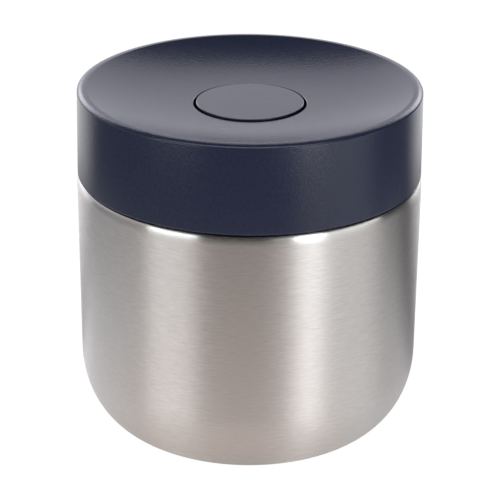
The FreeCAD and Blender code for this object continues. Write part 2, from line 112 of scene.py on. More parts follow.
class JarSizes(bpy.types.PropertyGroup):
    """Sizes of the steel jar, which the outlines of its pieces are drawn from."""

    body_radius: length("Body radius", "Outer radius of the steel body", 50.2)
    body_height: length("Body height", "Height of the body up to its shoulder", 77.5)
    corner_run: length("Foot corner run", "How far the rounded foot reaches inwards", 15.3)
    corner_rise: length("Foot corner rise", "How far the rounded foot reaches up", 22.0)
    shell_wall: length("Shell wall", "Thickness of the outer steel wall", 0.6)
    shoulder_run: length("Shoulder run", "How far the edge under the lid reaches inwards", 0.8)
    shoulder_rise: length("Shoulder rise", "How far the edge under the lid reaches down", 3.0)
    foot_width: length("Foot width", "Width of the ring that the jar stands on", 1.15)
    hem_height: length("Hem height", "Height of the turned-in hem inside the foot", 2.4)
    neck_radius: length("Neck radius", "Outer radius of the threaded neck", 45.4)
    neck_height: length("Neck height", "Height of the neck above the shoulder", 13.5)
    neck_root_round: length("Neck root rounding", "Radius between the shoulder and the neck", 0.5)
    vessel_radius: length("Vessel radius", "Inner radius of the vessel", 43.5)
    vessel_wall: length("Vessel wall", "Thickness of the inner steel wall", 0.5)
    vessel_floor: length("Vessel floor height", "Height of the vessel's floor", 9.0)
    vessel_corner: length("Vessel corner", "Radius round the vessel's floor", 14.0)
    lip_thickness: length("Lip thickness", "Height of the lip that closes the two walls", 0.6)
    lip_round: length("Lip rounding", "Radius of the lip's edges", 0.28)
    base_plate: length("Base plate", "Thickness of the plate that closes the foot", 0.6)
    dimple_radius: length("Dimple radius", "Radius of the dimple round the vacuum plug", 6.0)
    dimple_rise: length("Dimple rise", "Height of the dimple round the vacuum plug", 1.4)
    cover_thickness: length("Cover thickness", "Thickness of the disc under the foot", 0.5)
    cover_recess: length("Cover recess", "How far the disc sits above the table", 0.3)
    thread_depth: length("Thread depth", "How far the thread stands out of its wall", 1.1)
    thread_lead: length("Thread lead", "Rise of the thread in one turn", 8.0)
    thread_root: length("Thread root", "Width of a ridge at the wall", 2.3)
    thread_tip: length("Thread tip", "Width of a ridge at its tip", 1.3)


class LidSizes(bpy.types.PropertyGroup):
    """Sizes of the lid and its button."""

    bottom: length("Lid bottom", "Height of the lid's lower edge", 78.0)
    radius: length("Lid radius", "Outer radius at the lower edge", 50.0)
    top_radius: length("Lid top radius", "Outer radius at the top, where the side has drawn in", 49.577)
    side_wall: length("Side wall", "Thickness of the lid's side", 1.65)
    top_wall: length("Top wall", "Thickness of the lid's top", 1.8)
    edge_round: length("Edge rounding", "Radius of the lower edge", 0.4)
    crest_height: length("Crest height", "Height of the rim's crest", 103.5)
    crest_inset: length("Crest inset", "Width of the crest's inner slope", 0.5)
    crest_round: length("Crest rounding", "Radius of the crest", 0.7)
    land_width: length("Land width", "Width of the narrow land outside the crest", 0.3)
    land_drop: length("Land drop", "How far the land slopes down", 0.02)
    outer_run: length("Outer rounding run", "How far the rim's outer rounding reaches inwards", 2.4)
    outer_rise: length("Outer rounding rise", "How far the rim's outer rounding reaches down", 0.9)
    dish_depth: length("Dish depth", "Depth of the dished top", 5.8)
    well_radius: length("Well radius", "Radius of the button's well", 16.3)
    well_round: length("Well rounding", "Radius of the well's edge", 0.3)
    floor_gap: length("Floor gap", "Room left under the pressed button", 1.25)
    well_floor_thickness: length("Well floor thickness", "Thickness of the well's floor", 1.5)
    well_wall: length("Well wall", "Thickness of the well's wall", 1.5)
    button_gap: length("Button gap", "Gap between the button and its well", 0.75)
    button_proud: length("Button proud", "How far the button stands above the dish", 0.8)
    button_round: length("Button rounding", "Radius of the button's edge", 0.3)
    button_plate: length("Button plate", "Thickness of the button's top", 1.8)
    button_skirt: length("Button skirt", "Depth of the button's skirt", 4.7)
    liner_wall: length("Liner wall", "Thickness of the threaded liner", 1.35)
    seal_thickness: length("Seal thickness", "Thickness of the seal ring", 1.8)
    travel: length("Button travel", "How far the button is pressed", 2.5)


class JarFinishes(bpy.types.PropertyGroup):
    """Colours and finishes of the jar and its lid."""

    steel: colour("Brushed steel", "Reflection colour of the body", (0.62, 0.598, 0.586))
    steel_roughness: share("Brushed steel roughness", "Roughness of the body", 0.40)
    steel_stretch: share("Brushed steel stretch", "How far brushing draws out a highlight", 0.90)
    bright_steel: colour("Bright steel", "Reflection colour of the neck and the vessel", (0.66, 0.65, 0.63))
    lid: colour("Lid plastic", "Colour of the lid and the button", (0.020, 0.0265, 0.062))
    lid_roughness: share("Lid roughness", "Roughness of the lid", 0.21)
    liner: colour("Liner plastic", "Colour of the threaded liner", (0.2, 0.21, 0.23))
    silicone: colour("Silicone", "Colour of the seal and the valve", (0.6, 0.61, 0.62))
    guide: colour("Guide plastic", "Colour of the stem and its guide", (0.8, 0.8, 0.78))
    foam: colour("Foam", "Colour of the lid's insulation", (0.85, 0.84, 0.8))
    adhesive: colour("Adhesive", "Colour of the ring that holds the base disc", (0.75, 0.73, 0.66))


class StageSettings(bpy.types.PropertyGroup):
    """The floor and the camera."""

    floor_colour: colour("Floor colour", "Colour of the floor", (0.74, 0.74, 0.74))
    lens: bpy.props.FloatProperty(name="Lens", description="Focal length for a 36 mm sensor", default=135.24)
    camera_distance: length("Camera distance", "From the jar's axis to the camera along the floor", 510.77)
    camera_height: length("Camera height", "Height of the camera", 279.83)
    camera_pitch: angle("Camera pitch", "How far the camera looks down", math.radians(24.08))
    camera_roll: angle("Camera roll", "How far the camera leans", 0.0082)
    camera_yaw: angle("Camera yaw", "How far the camera turns left", -0.0007)


# Outlines

def corner_points(before, corner, after):
    """Points of one corner of an outline, rounded as its tuple says."""
    tip = Vector(corner[:2])
    if len(corner) == 2:
        return [tip]
    back = (before - tip).normalized()
    ahead = (after - tip).normalized()
    if len(corner) == 4:
        points = quarter_ellipse(tip, back, ahead, corner[2], corner[3])
    else:
        points = circular_round(tip, back, ahead, corner[2])
    return [points[0] + back * HOLD_DISTANCE] + points + [points[-1] + ahead * HOLD_DISTANCE]


def circular_round(tip, back, ahead, radius):
    """Points of a circular rounding between two straight sides."""
    half = back.angle(ahead) / 2
    run = radius / math.tan(half)
    turn = math.pi - 2 * half
    centre = tip + (back + ahead).normalized() * (radius / math.sin(half))
    first = tip + back * run - centre
    last = tip + ahead * run - centre
    count = max(3, math.ceil(turn / ROUND_STEP))
    points = []
    for i in range(count + 1):
        part = turn * i / count
        mixed = first * math.sin(turn - part) + last * math.sin(part)
        points.append(centre + mixed / math.sin(turn))
    return points


def quarter_ellipse(tip, back, ahead, back_run, ahead_run):
    """Points of a quarter of an ellipse in a square corner."""
    centre = tip + back * back_run + ahead * ahead_run
    return [centre - ahead * ahead_run * math.cos(a) - back * back_run * math.sin(a)
            for a in quarter_turn(ELLIPSE_STEPS)]


def quarter_turn(count):
    """Even angles from nothing to a right angle."""
    return [math.pi / 2 * i / count for i in range(count + 1)]


def rounded(corners, closed):
    """All the points of an outline of (radius, height) corners, with lists taken as they are."""
    ends = []
    for item in corners:
        points = item if isinstance(item, list) else [item[:2]]
        ends.append((Vector(points[0]), Vector(points[-1])))
    points = []
    last = len(corners) - 1
    for i, item in enumerate(corners):
        if isinstance(item, list):
            points += [Vector(p) for p in item]
        elif not closed and i in (0, last):
            points.append(Vector(item[:2]))
        else:
            points += corner_points(ends[i - 1][1], item, ends[(i + 1) % len(corners)][0])
    if closed:
        points.append(points[0].copy())
    area = sum(a.x * b.y - b.x * a.y for a, b in zip(points, points[1:]))
    area += points[-1].x * points[0].y - points[0].x * points[-1].y
    return points if area > 0 else points[::-1]


def dish_height(lid, radius, drop):
    """Height of the dished top at a radius, lowered by a drop."""
    crest = lid.top_radius - lid.outer_run - lid.land_width
    return lid.crest_height - lid.dish_depth * (1 - (radius / crest) ** DISH_POWER) - drop


def dish_points(lid, outer, inner, drop):
    """Points of the dished top from an outer radius to an inner one."""
    radii = [outer + (inner - outer) * i / DISH_STEPS for i in range(DISH_STEPS + 1)]
    return [(r, dish_height(lid, r, drop)) for r in radii]


def stack(jar, lid):
    """Heights inside the lid, worked out in the order in which its pieces stack."""
    seal_gap, tube_gap, valve_gap, boss_gap = 0.15 * MM, 1.0 * MM, 0.3 * MM, 0.45 * MM
    plate, plug_floor, valve, washer = 1.6 * MM, 1.5 * MM, 1.6 * MM, 0.5 * MM
    tube_rise, guide_flange = 1.8 * MM, 0.8 * MM
    at = SimpleNamespace()
    at.button_top = lid.crest_height - lid.dish_depth + lid.button_proud
    at.well_floor = at.button_top - lid.button_skirt - lid.travel - lid.floor_gap
    at.boss_low = at.well_floor + guide_flange + lid.travel + boss_gap
    at.seal_low = jar.body_height + jar.neck_height + seal_gap
    at.plate_low = at.seal_low + lid.seal_thickness + seal_gap
    at.plate_top = at.plate_low + plate
    at.tube_top = at.well_floor - lid.well_floor_thickness - tube_gap
    at.floor_top = at.tube_top - tube_rise
    at.floor_low = at.floor_top - plug_floor
    at.valve_top = at.floor_low - valve_gap
    at.valve_low = at.valve_top - valve
    at.washer_low = at.valve_low - washer
    return at


def shell_outline(jar, lid):
    """The outer steel wall: foot, rounded corner, wall, shoulder and neck."""
    wall = jar.shell_wall
    hem = jar.body_radius - jar.corner_run - jar.foot_width
    top = jar.body_height + jar.neck_height - jar.lip_thickness
    return [
        (hem, 0),
        (jar.body_radius, 0, jar.corner_run, jar.corner_rise),
        (jar.body_radius, jar.body_height, jar.shoulder_rise, jar.shoulder_run),
        (jar.neck_radius, jar.body_height, jar.neck_root_round),
        (jar.neck_radius, top),
        (jar.neck_radius - wall, top),
        (jar.neck_radius - wall, jar.body_height - wall, jar.neck_root_round + wall),
        (jar.body_radius - wall, jar.body_height - wall, jar.shoulder_run - wall, jar.shoulder_rise - wall),
        (jar.body_radius - wall, wall, jar.corner_rise - wall, jar.corner_run - wall),
        (hem + wall, wall),
        (hem + wall, jar.hem_height),
        (hem, jar.hem_height),
    ]


def vessel_outline(jar, lid):
    """The inner steel vessel with the lip that closes the two walls."""
    outer = jar.vessel_radius + jar.vessel_wall
    top = jar.body_height + jar.neck_height
    return [
        (0, jar.vessel_floor - jar.vessel_wall),
        (outer, jar.vessel_floor - jar.vessel_wall, jar.vessel_corner + jar.vessel_wall),
        (outer, top - jar.lip_thickness),
        (jar.neck_radius, top - jar.lip_thickness, jar.lip_round),
        (jar.neck_radius, top, jar.lip_round),
        (jar.vessel_radius, top, jar.lip_round),
        (jar.vessel_radius, jar.vessel_floor, jar.vessel_corner),
        (0, jar.vessel_floor),
    ]


def base_outline(jar, lid):
    """The steel plate that closes the foot, with its dimple for the vacuum plug."""
    rim = jar.body_radius - jar.corner_run - jar.foot_width - FIT_GAP
    low = jar.hem_height - jar.base_plate
    hole, slope = 1.2 * MM, 2 * MM
    foot = jar.dimple_radius + slope
    edge = jar.cover_recess + jar.cover_thickness + FIT_GAP
    return [
        (hole, low + jar.dimple_rise),
        (jar.dimple_radius, low + jar.dimple_rise),
        (foot, low),
        (rim - jar.base_plate, low),
        (rim - jar.base_plate, edge),
        (rim, edge),
        (rim, jar.hem_height, jar.base_plate),
        (foot, jar.hem_height),
        (jar.dimple_radius, jar.hem_height + jar.dimple_rise),
        (hole, jar.hem_height + jar.dimple_rise),
    ]


def cover_outline(jar, lid):
    """The disc under the foot."""
    rim = jar.body_radius - jar.corner_run - jar.foot_width - FIT_GAP
    top = jar.cover_recess + jar.cover_thickness
    return [(0, jar.cover_recess), (rim, jar.cover_recess, jar.cover_thickness / 2), (rim, top), (0, top)]


def lid_outline(jar, lid):
    """The lid's outer shell: side, rim with its crest, dished top and the button's well."""
    bore = lid.radius - lid.side_wall
    ledge_width, foam_room = 0.75 * MM, 0.8 * MM
    ledge = bore - ledge_width
    land_height = lid.crest_height - lid.land_drop
    land_outer = lid.top_radius - lid.outer_run
    crest = land_outer - lid.land_width
    dish_edge = crest - lid.crest_inset
    side_end = land_height - lid.outer_rise
    under_edge = ledge - lid.top_wall - foam_room
    under = dish_height(lid, under_edge, lid.top_wall)
    hole = 4.2 * MM
    at = stack(jar, lid)
    liner_top = at.plate_top + FIT_GAP
    well_outer = lid.well_radius + lid.well_wall
    floor_low = at.well_floor - lid.well_floor_thickness
    rim = [(lid.top_radius - lid.outer_run * (1 - math.cos(a)), side_end + lid.outer_rise * math.sin(a))
           for a in quarter_turn(RIM_STEPS)]
    return [
        (bore, lid.bottom, lid.edge_round),
        (lid.radius, lid.bottom, lid.edge_round),
        rim,
        (crest, lid.crest_height, lid.crest_round),
        dish_points(lid, dish_edge, lid.well_radius + lid.well_round, 0),
        (lid.well_radius, dish_height(lid, lid.well_radius, 0), lid.well_round),
        (lid.well_radius, at.well_floor),
        (hole, at.well_floor),
        (hole, floor_low),
        (well_outer, floor_low),
        dish_points(lid, well_outer, under_edge, lid.top_wall),
        (ledge, under, lid.top_wall),
        (ledge, liner_top),
        (bore, liner_top),
    ]


def button_outline(jar, lid):
    """The vent button with its skirt and the boss that holds the stem."""
    at = stack(jar, lid)
    top = at.button_top
    under = top - lid.button_plate
    radius = lid.well_radius - lid.button_gap
    skirt_wall, socket, boss = 1.5 * MM, 2.1 * MM, 4.5 * MM
    inside = radius - skirt_wall
    skirt = top - lid.button_skirt
    return [
        (0, under),
        (socket, under),
        (socket, at.boss_low),
        (boss, at.boss_low),
        (boss, under),
        (inside, under),
        (inside, skirt),
        (radius, skirt),
        (radius, top, lid.button_round),
        (0, top),
    ]


def liner_outline(jar, lid):
    """The threaded liner under the lid, with the plug that reaches into the neck."""
    outer = lid.radius - lid.side_wall - FIT_GAP
    bore = outer - lid.liner_wall
    low = lid.bottom + LINER_RECESS
    at = stack(jar, lid)
    plug_gap, plug_wall = 1.5 * MM, 1.5 * MM
    plug = jar.vessel_radius - plug_gap
    plug_bore = plug - plug_wall
    tube, tube_outer, edge = 4.0 * MM, 5.5 * MM, 1.0 * MM
    return [
        (bore, low),
        (outer, low),
        (outer, at.plate_top),
        (plug_bore, at.plate_top),
        (plug_bore, at.floor_top, edge / 2),
        (tube_outer, at.floor_top),
        (tube_outer, at.tube_top),
        (tube, at.tube_top),
        (tube, at.floor_low),
        (plug, at.floor_low, edge),
        (plug, at.plate_low),
        (bore, at.plate_low),
    ]


def seal_outline(jar, lid):
    """The silicone ring that closes the lid against the jar's lip."""
    reach_in, reach_out, lip = 1.3 * MM, 0.8 * MM, 0.5 * MM
    inner = jar.vessel_radius - reach_in
    outer = jar.neck_radius + reach_out
    low = stack(jar, lid).seal_low
    top = low + lid.seal_thickness
    return [(inner, low, lip), (outer, low, lip), (outer, top), (inner, top)]


def valve_outline(jar, lid):
    """The silicone disc that closes the vent."""
    at = stack(jar, lid)
    bore, radius, edge = 2.1 * MM, 7.0 * MM, 0.5 * MM
    return [(bore, at.valve_low), (radius, at.valve_low, edge), (radius, at.valve_top), (bore, at.valve_top)]


def washer_outline(jar, lid):
    """The washer under the valve."""
    at = stack(jar, lid)
    bore, radius, edge = 1.1 * MM, 4.5 * MM, 0.12 * MM
    return [(bore, at.washer_low), (radius, at.washer_low, edge), (radius, at.valve_low), (bore, at.valve_low)]


# Node helpers

def fill(tree, node, values):
    """Sets a node's inputs to values, or links them to sockets."""
    for key, value in values.items():
        if isinstance(value, bpy.types.NodeSocket):
            tree.links.new(value, node.inputs[key])
        else:
            node.inputs[key].default_value = value
    return node


def add_node(tree, kind, values=None, **settings):
    """A node with its settings and its inputs."""
    made = tree.nodes.new(kind)
    for key, value in settings.items():
        setattr(made, key, value)
    return fill(tree, made, values or {})


def result(tree, kind, values=None, **settings):
    """The first output of a new node."""
    return add_node(tree, kind, values, **settings).outputs[0]


def maths(tree, operation, *values):
    """The result of a Math node."""
    return result(tree, "ShaderNodeMath", dict(enumerate(values)), operation=operation)


def plus(tree, *values):
    """The sum of two numbers."""
    return maths(tree, "ADD", *values)


def times(tree, *values):
    """The product of two numbers."""
    return maths(tree, "MULTIPLY", *values)


def ramp(tree, value, start, end, low, high, kind="SMOOTHSTEP"):
    """A number that goes from low to high as a value goes from start to end."""
    values = {"Value": value, "From Min": start, "From Max": end, "To Min": low, "To Max": high}
    return result(tree, "ShaderNodeMapRange", values, interpolation_type=kind)


def between(tree, factor, low, high):
    """A number that goes evenly from low to high as the factor goes from 0 to 1."""
    return ramp(tree, factor, 0.0, 1.0, low, high, "LINEAR")


def mix(tree, factor, first, second):
    """A number between two numbers."""
    return result(tree, "ShaderNodeMix", {0: factor, 2: first, 3: second})


def blended(tree, factor, first, second):
    """A colour between two colours or sockets."""
    ends = [end if isinstance(end, bpy.types.NodeSocket) else (*end, 1) for end in (first, second)]
    values = {"Factor": factor, 6: ends[0], 7: ends[1]}
    return add_node(tree, "ShaderNodeMix", values, data_type="RGBA").outputs[2]


def noise(tree, vector, scale, detail=2.0, roughness=0.5, distortion=0.0):
    """The value of a noise texture."""
    values = {"Vector": vector, "Scale": scale, "Detail": detail, "Roughness": roughness, "Distortion": distortion}
    return result(tree, "ShaderNodeTexNoise", values)


def darker(value, factor):
    """A colour made darker or lighter."""
    return tuple(min(1.0, part * factor) for part in value)


# Node trees that grow pieces

def new_tree(name, numbers, counts=()):
    """A geometry tree with its input node, which takes geometry, the named numbers and a material."""
    tree = bpy.data.node_groups.new(name, "GeometryNodeTree")
    inputs = [("Geometry", "Geometry"), *((title, "Float") for title in numbers)]
    inputs += [*((title, "Int") for title in counts), ("Material", "Material")]
    for title, kind in inputs:
        tree.interface.new_socket(title, in_out="INPUT", socket_type="NodeSocket" + kind)
    tree.interface.new_socket("Geometry", in_out="OUTPUT", socket_type="NodeSocketGeometry")
    return tree, add_node(tree, "NodeGroupInput").outputs


def finish_tree(tree, given, geometry):
    """Smooth shading, real geometry and the material, at the end of a tree."""
    smooth = result(tree, "GeometryNodeSetShadeSmooth", {"Geometry": geometry})
    real = result(tree, "GeometryNodeRealizeInstances", {"Geometry": smooth})
    dressed = result(tree, "GeometryNodeSetMaterial", {"Geometry": real, "Material": given["Material"]})
    add_node(tree, "NodeGroupOutput", {"Geometry": dressed})
    return tree


def link_value(tree, socket, node):
    """Links a socket to the one of a node's Value inputs that is in use."""
    tree.links.new(socket, next(s for s in node.inputs if s.name == "Value" and s.enabled))


def sheet_from_line(tree, given, columns):
    """A grid with one column of points for each step, and the step and outline point of each vertex."""
    line = given["Geometry"]
    count = add_node(tree, "GeometryNodeAttributeDomainSize", {"Geometry": line}).outputs["Point Count"]
    values = {"Size X": 1.0, "Size Y": 1.0, "Vertices X": columns, "Vertices Y": count}
    grid = add_node(tree, "GeometryNodeMeshGrid", values)
    half = plus(tree, result(tree, "GeometryNodeInputIndex"), 0.5)
    step = maths(tree, "FLOOR", maths(tree, "DIVIDE", half, count))
    place = maths(tree, "FLOOR", maths(tree, "SUBTRACT", half, times(tree, step, count)))
    values = {"Geometry": line, "Index": place}
    sample = add_node(tree, "GeometryNodeSampleIndex", values, data_type="FLOAT_VECTOR")
    link_value(tree, result(tree, "GeometryNodeInputPosition"), sample)
    point = next(s for s in sample.outputs if s.enabled)
    parts = add_node(tree, "ShaderNodeSeparateXYZ", {0: point}).outputs
    return grid, step, parts["X"], parts["Z"]


def placed_round(tree, grid, radius, turn, height):
    """The grid with its vertices set round the Z axis, its seam and poles closed and its UV map kept."""
    across = times(tree, radius, maths(tree, "COSINE", turn))
    along = times(tree, radius, maths(tree, "SINE", turn))
    spot = result(tree, "ShaderNodeCombineXYZ", {"X": across, "Y": along, "Z": height})
    values = {"Geometry": grid.outputs["Mesh"], "Name": "UVMap"}
    mapped = add_node(tree, "GeometryNodeStoreNamedAttribute", values, data_type="FLOAT2", domain="CORNER")
    link_value(tree, grid.outputs["UV Map"], mapped)
    moved = result(tree, "GeometryNodeSetPosition", {"Geometry": mapped.outputs[0], "Position": spot})
    return result(tree, "GeometryNodeMergeByDistance", {"Geometry": moved, "Distance": MERGE_DISTANCE})


def turned_tree(name):
    """Turns an outline of points about the Z axis."""
    tree, given = new_tree(name, [], ["Segments"])
    segments = given["Segments"]
    grid, step, radius, height = sheet_from_line(tree, given, plus(tree, segments, 1))
    turn = times(tree, step, maths(tree, "DIVIDE", FULL_TURN, segments))
    return finish_tree(tree, given, placed_round(tree, grid, radius, turn, height))


def thread_tree(name):
    """Runs a ridge's section up a helix on a wall, tapers its ends into the wall and repeats it for each start."""
    sizes = ["Wall radius", "Outwards", "Sink", "Start height", "Rise", "Lead", "Taper"]
    tree, given = new_tree(name, sizes, ["Steps", "Starts"])
    grid, step, depth, offset = sheet_from_line(tree, given, plus(tree, given["Steps"], 1))
    way = maths(tree, "DIVIDE", step, given["Steps"])
    ends = [ramp(tree, distance, 0.0, given["Taper"], 0.0, 1.0)
            for distance in (way, maths(tree, "SUBTRACT", 1.0, way))]
    swell = times(tree, *ends)
    grown = times(tree, swell, plus(tree, depth, given["Sink"]))
    stand = maths(tree, "SUBTRACT", grown, given["Sink"])
    radius = plus(tree, given["Wall radius"], times(tree, given["Outwards"], stand))
    climb = times(tree, given["Rise"], way)
    height = plus(tree, plus(tree, given["Start height"], climb), times(tree, swell, offset))
    turn = times(tree, FULL_TURN, maths(tree, "DIVIDE", climb, given["Lead"]))
    ridge = placed_round(tree, grid, radius, turn, height)
    points = result(tree, "GeometryNodeMeshLine", {"Count": given["Starts"], "Offset": (0, 0, 0)})
    share_of_turn = maths(tree, "DIVIDE", FULL_TURN, given["Starts"])
    start_turn = times(tree, result(tree, "GeometryNodeInputIndex"), share_of_turn)
    rotation = result(tree, "ShaderNodeCombineXYZ", {"Z": start_turn})
    values = {"Points": points, "Instance": ridge, "Rotation": rotation}
    return finish_tree(tree, given, result(tree, "GeometryNodeInstanceOnPoints", values))


def coil_tree(name):
    """Winds a round wire into a spring between two heights."""
    tree, given = new_tree(name, ["Coil radius", "Wire radius", "Low", "Height", "Turns"])
    values = {"Resolution": 48, "Rotations": given["Turns"], "Start Radius": given["Coil radius"],
              "End Radius": given["Coil radius"], "Height": given["Height"]}
    path = result(tree, "GeometryNodeCurveSpiral", values)
    values = {"Resolution": 14, "Radius": given["Wire radius"]}
    section = add_node(tree, "GeometryNodeCurvePrimitiveCircle", values).outputs["Curve"]
    values = {"Curve": path, "Profile Curve": section, "Fill Caps": True}
    wire = result(tree, "GeometryNodeCurveToMesh", values)
    lift = result(tree, "ShaderNodeCombineXYZ", {"Z": given["Low"]})
    return finish_tree(tree, given, result(tree, "GeometryNodeTransform", {"Geometry": wire, "Translation": lift}))


TREE_MAKERS = {"Turned piece": turned_tree, "Thread ridges": thread_tree, "Coil spring": coil_tree}


def grow(name, tree_name, values, points=()):
    """A plain mesh object grown by a geometry tree from a line of points in the plane y = 0."""
    tree = bpy.data.node_groups.get(tree_name) or TREE_MAKERS[tree_name](tree_name)
    line = bpy.data.meshes.new(name + "_line")
    line.from_pydata([(p.x, 0, p.y) for p in points], [(i, i + 1) for i in range(len(points) - 1)], [])
    obj = bpy.data.objects.new(name, line)
    bpy.context.scene.collection.objects.link(obj)
    modifier = obj.modifiers.new("Grow", "NODES")
    modifier.node_group = tree
    for item in tree.interface.items_tree:
        if item.in_out == "INPUT" and item.name in values:
            modifier[item.identifier] = values[item.name]
    bpy.context.view_layer.update()
    evaluated = obj.evaluated_get(bpy.context.evaluated_depsgraph_get())
    mesh = bpy.data.meshes.new_from_object(evaluated)
    obj.modifiers.clear()
    obj.data = mesh
    mesh.name = name
    bpy.data.meshes.remove(line)
    if not mesh.polygons:
        raise RuntimeError(name + " came out empty")
    mesh.set_sharp_from_angle(angle=SHARP_ANGLE)
    return obj


def turned(name, node, outline, finish, closed=True, segments=SEGMENTS):
    """A turned piece that stands for a CAD node."""
    scene = bpy.context.scene
    points = rounded(outline(scene.jar_sizes, scene.lid_sizes), closed)
    values = {"Segments": segments, "Material": material(finish)}
    stand_for(grow(name, "Turned piece", values, points), node)


def smooth_copy(name, node, finish):
    """A copy of a CAD node with its triangles joined, shaded smooth between its edges."""
    made = bmesh.new()
    made.from_mesh(frame["nodes"][node].data)
    bmesh.ops.remove_doubles(made, verts=made.verts, dist=MERGE_DISTANCE)
    mesh = bpy.data.meshes.new(name)
    made.to_mesh(mesh)
    made.free()
    mesh.materials.clear()
    mesh.materials.append(material(finish))
    mesh.shade_smooth()
    mesh.set_sharp_from_angle(angle=SHARP_ANGLE)
    obj = bpy.data.objects.new(name, mesh)
    bpy.context.scene.collection.objects.link(obj)
    stand_for(obj, node)


def thread(name, node, finish, wall_radius, outwards, start_height, rise):
    """The ridges of a two-start thread on a wall, outwards 1 or -1."""
    jar = bpy.context.scene.jar_sizes
    sink, tip_round = 0.25 * MM, 0.25 * MM
    corners = [
        (-sink, -jar.thread_root / 2),
        (jar.thread_depth, -jar.thread_tip / 2, tip_round),
        (jar.thread_depth, jar.thread_tip / 2, tip_round),
        (-sink, jar.thread_root / 2),
    ]
    points = rounded(corners, True)
    if outwards < 0:
        points.reverse()
    values = {"Wall radius": wall_radius, "Outwards": float(outwards), "Sink": sink, "Start height": start_height,
              "Rise": rise, "Lead": jar.thread_lead, "Taper": 0.06, "Steps": 150, "Starts": 2,
              "Material": material(finish)}
    stand_for(grow(name, "Thread ridges", values, points), node)


def stand_for(obj, node):
    """Makes a piece ride with its CAD node's body and stand for it."""
    bodies = frame["record"]["behaviour"]["bodies"]
    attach(obj, next(body for body, members in bodies.items() if node in members))
    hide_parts(node)
    return obj


# Shader groups that several finishes share

def new_group(name, sizes, masks):
    """A shader group with its inputs, which takes a Vector and sizes and puts out masks."""
    group = bpy.data.node_groups.new(name, "ShaderNodeTree")
    group.interface.new_socket("Vector", in_out="INPUT", socket_type="NodeSocketVector")
    for title in sizes:
        group.interface.new_socket(title, in_out="INPUT", socket_type="NodeSocketFloat")
    for title in masks:
        group.interface.new_socket(title, in_out="OUTPUT", socket_type="NodeSocketFloat")
    return group, add_node(group, "NodeGroupInput").outputs


def brush_lines(name):
    """Fine lines round the Z axis: Height for bump, Streak for broader bands of them."""
    group, given = new_group(name, ["Spacing", "Stroke"], ["Height", "Streak"])
    parts = add_node(group, "ShaderNodeSeparateXYZ", {0: given["Vector"]}).outputs
    flat = result(group, "ShaderNodeCombineXYZ", {"X": parts["X"], "Y": parts["Y"]})
    radius = add_node(group, "ShaderNodeVectorMath", {0: flat}, operation="LENGTH").outputs["Value"]
    across = plus(group, parts["Z"], radius)
    layers = []
    for coarser, longer in ((1.0, 1.0), (2.5, 2.0)):
        stroke = times(group, given["Stroke"], longer)
        line = times(group, given["Spacing"], coarser)
        spot = result(group, "ShaderNodeCombineXYZ", {
            "X": maths(group, "DIVIDE", parts["X"], stroke),
            "Y": maths(group, "DIVIDE", parts["Y"], stroke),
            "Z": maths(group, "DIVIDE", across, line)})
        layers.append(ramp(group, noise(group, spot, 1.0), 0.3, 0.7, 0.0, 1.0, "LINEAR"))
    height = plus(group, times(group, layers[0], 0.8), times(group, layers[1], 0.2))
    add_node(group, "NodeGroupOutput", {"Height": height, "Streak": layers[1]})
    return group


def moulded_grain(name):
    """The fine even grain of a spark-eroded mould, for bump and slight tone."""
    group, given = new_group(name, ["Size"], ["Grain"])
    value = noise(group, given["Vector"], maths(group, "DIVIDE", 1.0, given["Size"]), roughness=0.55)
    add_node(group, "NodeGroupOutput", {"Grain": ramp(group, value, 0.3, 0.7, 0.0, 1.0, "LINEAR")})
    return group


def handling(name):
    """Broad soft patches where hands and cloths have been: Mask from 0 to 1."""
    group, given = new_group(name, ["Size"], ["Mask"])
    scale = maths(group, "DIVIDE", 1.0, given["Size"])
    value = noise(group, given["Vector"], scale, detail=4.0, roughness=0.6, distortion=0.4)
    add_node(group, "NodeGroupOutput", {"Mask": ramp(group, value, 0.35, 0.7, 0.0, 1.0)})
    return group


GROUP_MAKERS = {"Brush lines": brush_lines, "Moulded grain": moulded_grain, "Handling": handling}


def effect(tree, name, values):
    """A shared effect placed in a material, with its own values."""
    group = bpy.data.node_groups.get(name) or GROUP_MAKERS[name](name)
    return add_node(tree, "ShaderNodeGroup", values, node_tree=group).outputs


# Finishes, one for each material slot

def new_finish(name):
    """A material with its Principled shader and object coordinates."""
    made = bpy.data.materials.new(name)
    made.use_nodes = True
    tree = made.node_tree
    shader = tree.nodes["Principled BSDF"]
    place = tree.nodes.new("ShaderNodeTexCoord").outputs["Object"]
    return made, tree, shader, place


def bump(tree, shader, height, strength, distance):
    """Relief on the shader's normal."""
    values = {"Height": height, "Strength": strength, "Distance": distance}
    fill(tree, shader, {"Normal": result(tree, "ShaderNodeBump", values)})


def patchy(tree, place, size, rise, rough):
    """A roughness raised in the patches that handling leaves."""
    marks = effect(tree, "Handling", {"Vector": place, "Size": size})["Mask"]
    return plus(tree, rough, between(tree, marks, 0.0, rise))


def turned_metal(tree, shader, tone, rough, stretch):
    """Metal whose highlights are drawn out across the lines that turning or brushing left round the axis."""
    tangent = result(tree, "ShaderNodeTangent", direction_type="RADIAL", axis="Z")
    fill(tree, shader, {"Base Color": tone, "Roughness": rough, "Metallic": 1.0, "Anisotropic": stretch,
                        "Anisotropic Rotation": 0.25, "Tangent": tangent})


def two_tone(tree, shader, factor, tones, roughness, metallic=0.0):
    """A colour and a roughness that a mask takes from the first of a pair to the second."""
    fill(tree, shader, {"Base Color": blended(tree, factor, *tones), "Metallic": metallic,
                        "Roughness": between(tree, factor, *roughness)})


